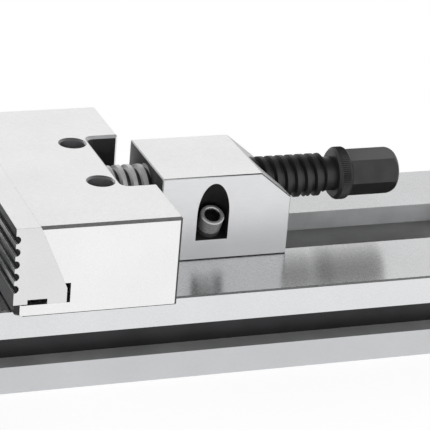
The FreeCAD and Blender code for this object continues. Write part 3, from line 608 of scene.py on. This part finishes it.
@dataclass
class KnurledBand:
    """Ring of straight knurling that stands on a turned cylinder."""

    radius: float
    width: float
    ridges: int
    depth: float = 0.25 * MM
    sunk: float = 0.3 * MM

    def mesh(self) -> bmesh.types.BMesh:
        """Build the ring about Z, with its middle at the origin.

        Returns:
            The closed ring.
        """
        made = bmesh.new()
        taper = 2 * self.depth
        half = self.width / 2
        rows = [(-half, 0.0), (-half + taper, self.depth), (half - taper, self.depth), (half, 0.0)]
        loops = [self._loop(made, height, rise) for height, rise in rows]
        loops.append(self._loop(made, half, -self.sunk))
        loops.append(self._loop(made, -half, -self.sunk))
        for index, low in enumerate(loops):
            high = loops[(index + 1) % len(loops)]
            for step in range(len(low)):
                after = (step + 1) % len(low)
                made.faces.new((low[step], low[after], high[after], high[step]))
        return made

    def _loop(self, made: bmesh.types.BMesh, height: float,
              rise: float) -> list[bmesh.types.BMVert]:
        """Add one loop of points, where every second point is raised.

        Args:
            made: Mesh that takes the points.
            height: Height of the loop.
            rise: How far every second point stands out, or how far all are sunk.

        Returns:
            The points in order.
        """
        points = []
        count = 2 * self.ridges
        for step in range(count):
            angle = 2 * math.pi * step / count
            out = self.radius + (rise if step % 2 or rise < 0 else 0.0)
            points.append(made.verts.new((out * math.cos(angle), out * math.sin(angle), height)))
        return points


@dataclass
class Bed:
    """The long base with its stop block."""

    edge_break: float = 0.25 * MM
    rail: float = 48.5
    rail_reach: float = 1.0
    half_width: float = 71.5
    flange_side: float = 70.0
    slot_half: float = 22.85
    undercut_half: float = 32.5
    underside: float = 1.0
    lip_bottom: float = 37.5
    web_half: float = 60.6
    groove_low: float = 15.6
    groove_top: float = 32.1
    groove_mouth: float = 0.3

    def build(self, finishes: Finishes) -> None:
        """Dress the bed and what is fixed in its slot.

        Args:
            finishes: The shared finishes.
        """
        bed = dress("bed", finishes.bed)
        paint(bed, finishes.rail, self._is_rail)
        paint(bed, finishes.band, is_side)
        paint(bed, finishes.lip, self._is_lip)
        paint(bed, finishes.ledge, self._is_ledge)
        paint(bed, finishes.shaded, self._in_undercut)
        paint(bed, finishes.dark, self._in_groove)
        paint(bed, finishes.flange, self._is_flange)
        soften(bed, self.edge_break)
        soften(dress("stop_block", finishes.oxide), self.edge_break)
        dress("stop_block_screw", finishes.screws)
        dress("fixed_jaw_key", finishes.bed)

    def _is_rail(self, centre: Vector, normal: Vector) -> bool:
        """Find the rails that the jaws stand on."""
        return normal.z > SQUARE and centre.z > self.rail - self.rail_reach

    def _is_lip(self, centre: Vector, normal: Vector) -> bool:
        """Find the walls of the slot's neck."""
        in_neck = abs(centre.y) < self.slot_half + NEAR and centre.z > self.lip_bottom
        return in_neck and abs(normal.y) > NEARLY_SQUARE

    def _is_ledge(self, centre: Vector, normal: Vector) -> bool:
        """Find the lower ledges of the side grooves."""
        at_ledge = abs(centre.y) > self.web_half and abs(centre.z - self.groove_low) < NEAR
        return at_ledge and abs(normal.x) < HALFWAY

    def _is_flange(self, centre: Vector, normal: Vector) -> bool:
        """Find the outer faces below the side grooves."""
        outside = abs(centre.y) > self.flange_side and centre.z < self.groove_low
        return outside and abs(normal.y) > NEARLY_SQUARE

    def _in_undercut(self, centre: Vector, normal: Vector) -> bool:
        """Find the unground faces of the slot's undercut.

        Args:
            centre: Middle of a face in millimetres.
            normal: Its normal.

        Returns:
            Whether the face is one of them.
        """
        across = abs(centre.y) < self.undercut_half + NEAR
        upward = self.underside < centre.z < self.lip_bottom + NEAR
        return across and upward and abs(normal.x) < HALFWAY

    def _in_groove(self, centre: Vector, normal: Vector) -> bool:
        """Find the inner and upper faces of the side grooves.

        Args:
            centre: Middle of a face in millimetres.
            normal: Its normal.

        Returns:
            Whether the face is one of them.
        """
        out = abs(centre.y)
        across = self.web_half - NEAR < out < self.half_width - self.groove_mouth
        upward = self.groove_low + NEAR < centre.z < self.groove_top + NEAR
        return across and upward and abs(normal.x) < HALFWAY


@dataclass
class Jaw:
    """A jaw block with its grooved plate. Its length runs from the gripping face."""

    block: str
    plate: str
    screws: str
    face: float
    outward: int
    notched: bool
    wells_from: float
    wells_to: float
    wells_half: float
    edge_break: float = 0.2 * MM
    plate_break: float = 0.35 * MM
    rail: float = 48.5
    toe_length: float = 3.0
    toe_height: float = 6.0
    half_width: float = 80.0
    corner_side: float = 70.0
    strip_width: float = 3.0
    rear: float = 89.0
    notch_floor: float = 70.3
    notch_half: float = 34.5
    notch_margin: float = 0.2
    grip_depth: float = 2.6
    land_low: float = 66.0
    land_top: float = 90.5

    def build(self, finishes: Finishes) -> None:
        """Dress the jaw.

        Args:
            finishes: The shared finishes.
        """
        block = dress(self.block, finishes.jaw)
        paint(block, finishes.milled, self._in_well)
        paint(block, finishes.dark, self._is_unground)
        # The notch walls take painted shade.
        paint(block, finishes.painted_shade, self._in_notch)
        paint(block, finishes.strip, self._is_side_strip)
        paint(block, finishes.lip, self._is_notch_strip)
        # Painted contact shadow along the lower bevels.
        paint(block, finishes.seam, is_lower_bevel)
        soften(block, self.edge_break)
        plate = dress(self.plate, finishes.plate)
        paint(plate, finishes.jaw, is_top)
        paint(plate, finishes.grip, self._is_grip)
        # The lands carry a painted highlight along each ridge, besides wear.
        paint(plate, finishes.wear_and_sheen, self._is_land)
        soften(plate, self.plate_break, finishes.plate)
        dress(self.screws, finishes.screws)

    def _behind(self, centre: Vector) -> float:
        """Give how far a point is behind the gripping face, in millimetres."""
        return (centre.x - self.face) * self.outward

    def _is_unground(self, centre: Vector, normal: Vector) -> bool:
        """Find the faces that the grinding wheel never reached.

        Args:
            centre: Middle of a face in millimetres.
            normal: Its normal.

        Returns:
            Whether the face is one of them.
        """
        at_corner = abs(centre.y) > self.corner_side and abs(normal.z) < HARDLY
        at_toe = self._behind(centre) < self.toe_length and centre.z < self.rail + self.toe_height
        return (at_corner and is_bevel(normal)) or (at_toe and abs(normal.y) < NEARLY_SQUARE)

    def _is_side_strip(self, centre: Vector, normal: Vector) -> bool:
        """Find the bevels along the jaw's upper side edges."""
        outside = abs(centre.y) > self.half_width - self.strip_width
        return outside and is_bevel(normal) and normal.z > HALFWAY

    def _is_notch_strip(self, centre: Vector, normal: Vector) -> bool:
        """Find the bevels along the notch's upper edges.

        Args:
            centre: Middle of a face in millimetres.
            normal: Its normal.

        Returns:
            Whether the face is one of them.
        """
        across = abs(centre.y) < self.notch_half + self.strip_width
        along = self._behind(centre) > self.notch_floor - self.strip_width
        return self.notched and across and along and is_bevel(normal) and normal.z > HALFWAY

    def _in_notch(self, centre: Vector, normal: Vector) -> bool:
        """Find the walls of the notch over the spindle.

        Args:
            centre: Middle of a face in millimetres.
            normal: Its normal.

        Returns:
            Whether the face is one of them.
        """
        across = abs(centre.y) < self.notch_half + self.notch_margin
        floor = self.notch_floor - self.notch_margin
        along = floor < self._behind(centre) < self.rear - self.notch_margin
        return self.notched and across and along and abs(normal.z) < BEVEL_LEAST

    def _in_well(self, centre: Vector, normal: Vector) -> bool:
        """Find the walls of the screw wells and their bevels.

        Args:
            centre: Middle of a face in millimetres.
            normal: Its normal.

        Returns:
            Whether the face is one of them.
        """
        across = abs(centre.y) < self.wells_half
        along = self.wells_from < self._behind(centre) < self.wells_to
        return across and along and abs(normal.z) < BEVEL_MOST

    def _is_grip(self, centre: Vector, normal: Vector) -> bool:
        """Find the grooved gripping face."""
        in_grip = self._behind(centre) < self.grip_depth
        return in_grip and abs(normal.y) < HALFWAY and abs(normal.z) < SQUARE

    def _is_land(self, centre: Vector, normal: Vector) -> bool:
        """Find the lands between the gripping grooves, painted bright as a highlight along each
        ridge and as wear where workpieces rub.
        """
        return abs(normal.x) > SQUARE and self.land_low < centre.z < self.land_top


@dataclass
class ScrewHeads:
    """Knurling on the upright cap screws of one node."""

    node: str
    body: str
    head_radius: float
    head_height: float
    ridges: int
    margin: float = 1.2 * MM
    place_digits: int = 6

    def build(self, finishes: Finishes) -> None:
        """Dress the screws and add a knurled band to each head.

        Args:
            finishes: The shared finishes.
        """
        dress(self.node, finishes.screws)
        low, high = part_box(self.node)
        inset = self.head_radius
        across = high.y - inset
        columns = {round(x, self.place_digits) for x in (low.x + inset, high.x - inset)}
        height = high.z - self.head_height / 2
        places = [(x, y) for x in sorted(columns) for y in (-across, across)]
        for number, (x, y) in enumerate(places, start=1):
            band = KnurledBand(self.head_radius, self.head_height - 2 * self.margin, self.ridges)
            place = Matrix.Translation((x, y, height))
            make_piece(f"{self.node}_knurl_{number}", band.mesh(), place, finishes.screws,
                       self.body)


@dataclass
class BearingUnit:
    """Bearing block in the sliding jaw, thrust bearing and spindle retainer."""

    edge_break: float = 0.2 * MM

    def build(self, finishes: Finishes) -> None:
        """Dress the unit.

        Args:
            finishes: The shared finishes.
        """
        for node in ("thrust_block", "guide_block", "hold_down_plate"):
            soften(dress(node, finishes.oxide), self.edge_break)
        dress("lock_nut", finishes.oxide)
        for node in ("hold_down_screws", "lock_nut_screw"):
            dress(node, finishes.screws)
        for node in ("housing_washer", "shaft_washer", "bearing_balls"):
            dress(node, finishes.races)
        dress("retaining_washer", finishes.bed)
        dress("bearing_cage", finishes.cage)


@dataclass
class Spindle:
    """The spindle with its knurled collar."""

    hex_length: float = 30.2 * MM
    collar_length: float = 8.4 * MM
    collar_radius: float = 14.6 * MM
    collar_chamfer: float = 1.4 * MM
    ridges: int = 80
    ridge_height: float = 0.35 * MM
    axis_height: float = 82.5 * MM
    root_limit: float = 9.8
    thread_end: float = 139.0
    hex_start: float = 154.6
    flat_rise: float = 0.45
    bright: Colour = (0.95, 0.95, 0.95)
    root_grease_and_shade: Colour = (0.06, 0.06, 0.06)
    oxide: Colour = (0.046, 0.046, 0.046)
    wear_and_sheen: Colour = (0.044, 0.046, 0.047)
    sheen_roughness: float = 0.38
    bright_until: float = 40.0 * MM
    dark_from: float = 70.0 * MM

    def build(self, finishes: Finishes) -> None:
        """Dress the spindle and knurl its collar.

        Args:
            finishes: The shared finishes.
        """
        steel = self._steel("spindle_steel", self.bright)
        root_shade_finish = self._steel("thread_root_shade", self.root_grease_and_shade)
        sheen_flats = BlackOxide("oxide_hexagon_sheen", self.wear_and_sheen, self.sheen_roughness).material()
        spindle = dress("spindle", steel)
        # The thread's roots are painted dark, partly for grease and partly as painted shade between
        # the turns.
        paint(spindle, root_shade_finish, self._is_root)
        # The upper flats get their own finish so that they look lighter than the lower ones:
        # painted sheen.
        paint(spindle, sheen_flats, self._is_upper_flat)
        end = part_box("spindle")[1].x
        middle = end - self.hex_length - self.collar_length / 2
        band = KnurledBand(self.collar_radius, self.collar_length - 2 * self.collar_chamfer,
                           self.ridges, self.ridge_height)
        turn = Euler((0, math.pi / 2, 0)).to_matrix().to_4x4()
        place = Matrix.Translation((middle, 0, self.axis_height)) @ turn
        make_piece("collar_knurl", band.mesh(), place, steel, "screw_spindle")

    def _steel(self, name: str, bright: Colour) -> bpy.types.Material:
        """Build a finish that turns from the given bright steel to black oxide."""
        steel = SpindleSteel(name, bright, self.oxide, self.bright_until, self.dark_from)
        return steel.material()

    def _is_upper_flat(self, centre: Vector, normal: Vector) -> bool:
        """Find the hexagon's upper flats, which take a lighter finish as a painted sheen."""
        return centre.x > self.hex_start and normal.z > self.flat_rise

    def _is_root(self, centre: Vector, normal: Vector) -> bool:
        """Find the roots of the thread, painted dark for grease and for the shade between its
        turns.
        """
        out = math.hypot(centre.y, centre.z - self.axis_height / MM)
        return out < self.root_limit and centre.x < self.thread_end


@dataclass
class NutBlock:
    """Nut block, its clamp bar and the two leaning clamp screws."""

    edge_break: float = 0.25 * MM
    seat_x: float = 65.2 * MM
    seat_y: float = 21.682 * MM
    seat_z: float = 64.425 * MM
    tilt: float = 30.0
    washer_height: float = 3.1 * MM
    socket_reach: float = 4.5
    pocket_radius: float = 9.2
    pocket_low: float = 55.0
    pocket_margin: float = 0.1
    half_width: float = 29.0

    def build(self, finishes: Finishes) -> None:
        """Dress the carriage and its screws.

        Args:
            finishes: The shared finishes.
        """
        block = dress("nut_block", finishes.block)
        # The sides take a darker copy of the block's steel as painted shade.
        paint(block, finishes.flank_shade, is_side)
        paint(block, finishes.polished, self._is_slant)
        paint(block, finishes.lip, is_any_bevel)
        # The walls of the leaning pockets are painted dark as painted shade.
        paint(block, finishes.dark, self._in_pocket)
        # The front face and the bevels beside the slant take painted shade.
        paint(block, finishes.painted_shade, self._is_shaded_face)
        # Painted contact shadow along the lower bevels.
        paint(block, finishes.seam, is_lower_bevel)
        soften(block, self.edge_break)
        soften(dress("clamp_bar", finishes.oxide), self.edge_break)
        dress("clamp_washers", finishes.screws)
        for side, name in ((-1, "left"), (1, "right")):
            lean = Euler((-side * math.radians(self.tilt), 0, 0)).to_matrix().to_4x4()
            seat = Matrix.Translation((self.seat_x, side * self.seat_y, self.seat_z)) @ lean
            screw = dress(f"clamp_screw_{name}", finishes.worn)
            # The socket inside each head is painted near-black as painted shade.
            paint(screw, finishes.screws, self._socket_test(seat))

    def _socket_test(self, seat: Matrix) -> FaceTest:
        """Make the test that finds a clamp screw's socket.

        Args:
            seat: Where the screw's seat is and how it leans.

        Returns:
            The test.
        """
        middle = seat.to_translation() / MM
        axis = (seat.to_3x3() @ Vector((0, 0, 1))).normalized()

        def in_socket(centre: Vector, normal: Vector) -> bool:
            """Find the faces inside the socket, above the head's underside.

            Args:
                centre: Middle of a face in millimetres.
                normal: Its normal.

            Returns:
                Whether the face is one of them.
            """
            from_seat = centre - middle
            near_axis = from_seat.cross(axis).length < self.socket_reach
            return near_axis and from_seat.dot(axis) > self.washer_height / MM + NEAR

        return in_socket

    def _is_slant(self, centre: Vector, normal: Vector) -> bool:
        """Find the rear slant and the bevels beside it."""
        return normal.x > TILTED and normal.z > TILTED

    def _is_shaded_face(self, centre: Vector, normal: Vector) -> bool:
        """Find the front face and the bevels beside the rear slant, which take painted shade."""
        beside_slant = self._is_slant(centre, normal) and abs(normal.y) > TILTED
        return beside_slant or normal.x < -SQUARE

    def _in_pocket(self, centre: Vector, normal: Vector) -> bool:
        """Find the walls of the leaning pockets.

        Args:
            centre: Middle of a face in millimetres.
            normal: Its normal.

        Returns:
            Whether the face is one of them.
        """
        beside = abs(centre.x - self.seat_x / MM) < self.pocket_radius + self.pocket_margin
        inside = abs(centre.y) < self.half_width - self.pocket_margin
        return beside and inside and centre.z > self.pocket_low and abs(normal.z) < SQUARE


@dataclass
class SoftBox:
    """Rectangular lamp that points at the vise."""

    name: str
    place: tuple[float, float, float]
    size: tuple[float, float]
    power: float
    target: tuple[float, float, float] = (0.0, 0.0, 0.06)

    def build(self) -> None:
        """Add the lamp, which lights the vise but isn't mirrored in it."""
        data = bpy.data.lights.new(self.name, "AREA")
        data.shape = "RECTANGLE"
        data.size, data.size_y = self.size
        data.energy = self.power
        lamp = bpy.data.objects.new(self.name, data)
        lamp.location = self.place
        aim = Vector(self.target) - Vector(self.place)
        lamp.rotation_mode = "QUATERNION"
        lamp.rotation_quaternion = aim.to_track_quat("-Z", "Y")
        lamp.visible_glossy = False
        bpy.context.scene.collection.objects.link(lamp)


@dataclass
class Studio:
    """Pale floor, soft lamps, white surroundings and the camera."""

    floor_half: float = 6.0
    floor_colour: Colour = (0.9, 0.9, 0.9)
    floor_share: float = 0.62
    floor_glow: float = 1.34
    camera_place: tuple[float, float, float] = (-0.34196, -1.05653, 0.55499)
    azimuth: float = -21.6632
    elevation: float = 23.4700
    roll: float = 5.0378
    lens: float = 185.096
    sensor: float = 36.0
    sight: float = 50.0
    horizon: float = 1.0
    ceiling: float = 0.12
    ceiling_start: float = 0.5
    ceiling_end: float = 0.8
    screen_side: tuple[float, float, float] = (-0.70, 0.714, 0.0)
    screen_start: float = 0.9
    screen_end: float = 1.0
    screen_shade: float = 0.1

    def build(self) -> None:
        """Set up everything around the vise."""
        self._floor()
        self._surroundings()
        for lamp in (
            SoftBox("front_box", place=(-0.4, -2.2, 1.3), size=(2.4, 1.2), power=3.0),
            SoftBox("side_box", place=(2.2, -0.6, 1.2), size=(1.6, 1.2), power=2.0),
        ):
            lamp.build()
        self._camera()
        view = bpy.context.scene.view_settings
        view.view_transform = "Standard"

    def _floor(self) -> None:
        """Lay the floor, which keeps the vise's shadow and shows white around it."""
        made = bmesh.new()
        half = self.floor_half
        corners = ((-half, -half), (half, -half), (half, half), (-half, half))
        made.faces.new([made.verts.new((x, y, 0.0)) for x, y in corners])
        data = bpy.data.meshes.new("floor")
        made.to_mesh(data)
        made.free()
        floor = bpy.data.objects.new("floor", data)
        bpy.context.scene.collection.objects.link(floor)
        data.materials.append(self._floor_finish())

    @staticmethod
    def _seen(sheet: ShaderSheet) -> bpy.types.NodeSocket:
        """Tell the rays that show the surroundings from those that only light the vise.

        Args:
            sheet: Node tree that takes the nodes.

        Returns:
            1 for a camera, glossy or transmission ray and 0 for others.
        """
        path = sheet.add("ShaderNodeLightPath", {}).outputs
        both = sheet.reckon("MAXIMUM", path["Is Camera Ray"], path["Is Glossy Ray"])
        return sheet.reckon("MAXIMUM", both, path["Is Transmission Ray"])

    def _floor_finish(self) -> bpy.types.Material:
        """Build the floor's pale paper.

        Returns:
            The material.
        """
        sheet = ShaderSheet("pale_floor")
        sheet.surface(self.floor_colour, 0.0, 1.0)
        sheet.feed(sheet.shader, "Specular IOR Level", 0.0)
        strength = sheet.reckon("MULTIPLY", self._seen(sheet), self.floor_glow)
        glow = sheet.add("ShaderNodeEmission", {"Strength": strength})
        inputs = {"0": self.floor_share, "1": sheet.shader.outputs[0], "2": glow.outputs[0]}
        mixed = sheet.add("ShaderNodeMixShader", inputs)
        out = sheet.tree.nodes["Material Output"]
        sheet.feed(out, "Surface", mixed.outputs[0])
        return sheet.material

    def _surroundings(self) -> None:
        """Make a bright horizon below a dark ceiling, with a dark screen at the far left."""
        world = bpy.data.worlds.new("surroundings")
        bpy.context.scene.world = world
        world.use_nodes = True
        sheet = NodeSheet(world.node_tree)
        place = sheet.add("ShaderNodeTexCoord", {}).outputs["Generated"]
        height = sheet.add("ShaderNodeSeparateXYZ", {"Vector": place}).outputs["Z"]
        ceiling = sheet.spread(height, self.horizon, self.ceiling, self.ceiling_start,
                               self.ceiling_end)
        side = sheet.add("ShaderNodeVectorMath", {"0": place, "1": self.screen_side},
                         operation="DOT_PRODUCT").outputs["Value"]
        screen = sheet.spread(side, 1.0, self.screen_shade, self.screen_start, self.screen_end)
        lit = sheet.reckon("MULTIPLY", ceiling, screen)
        seen = sheet.add("ShaderNodeLightPath", {}).outputs["Is Camera Ray"]
        strength = sheet.add("ShaderNodeMix", {"0": seen, "2": lit, "3": 1.0}).outputs[0]
        background = sheet.tree.nodes["Background"]
        sheet.feed(background, "Color", WHITE)
        sheet.feed(background, "Strength", strength)

    def _camera(self) -> None:
        """Place the camera as the photograph's view needs."""
        data = bpy.data.cameras.new("camera")
        data.lens = self.lens
        data.sensor_width = self.sensor
        data.clip_end = self.sight
        camera = bpy.data.objects.new("camera", data)
        around = math.radians(self.azimuth)
        above = math.radians(self.elevation)
        back = Vector((math.sin(around) * math.cos(above), -math.cos(around) * math.cos(above),
                       math.sin(above)))
        level = Vector((math.cos(around), math.sin(around), 0.0))
        upright = back.cross(level)
        turn = math.radians(self.roll)
        right = math.cos(turn) * level + math.sin(turn) * upright
        up = -math.sin(turn) * level + math.cos(turn) * upright
        axes = Matrix((right, up, back)).transposed().to_4x4()
        camera.matrix_world = Matrix.Translation(self.camera_place) @ axes
        bpy.context.scene.collection.objects.link(camera)
        bpy.context.scene.camera = camera


def main() -> None:
    """Build the vise's looks in order."""
    logging.basicConfig(level=logging.INFO, format="%(name)s %(message)s")
    finishes = Finishes()
    Bed().build(finishes)
    Jaw("fixed_jaw", "fixed_jaw_plate", "fixed_plate_screws", face=-170.0, outward=-1,
        notched=False, wells_from=30.0, wells_to=76.0, wells_half=60.0).build(finishes)
    Jaw("movable_jaw", "movable_jaw_plate", "movable_plate_screws", face=-60.0, outward=1,
        notched=True, wells_from=45.0, wells_to=70.1, wells_half=40.0).build(finishes)
    ScrewHeads("fixed_jaw_screws", "base", head_radius=9.0 * MM, head_height=12.0 * MM,
               ridges=60).build(finishes)
    ScrewHeads("thrust_block_screws", "sliding_jaw", head_radius=6.5 * MM, head_height=8.0 * MM,
               ridges=44).build(finishes)
    BearingUnit().build(finishes)
    Spindle().build(finishes)
    NutBlock().build(finishes)
    Studio().build()


if __name__ == "__main__":
    main()
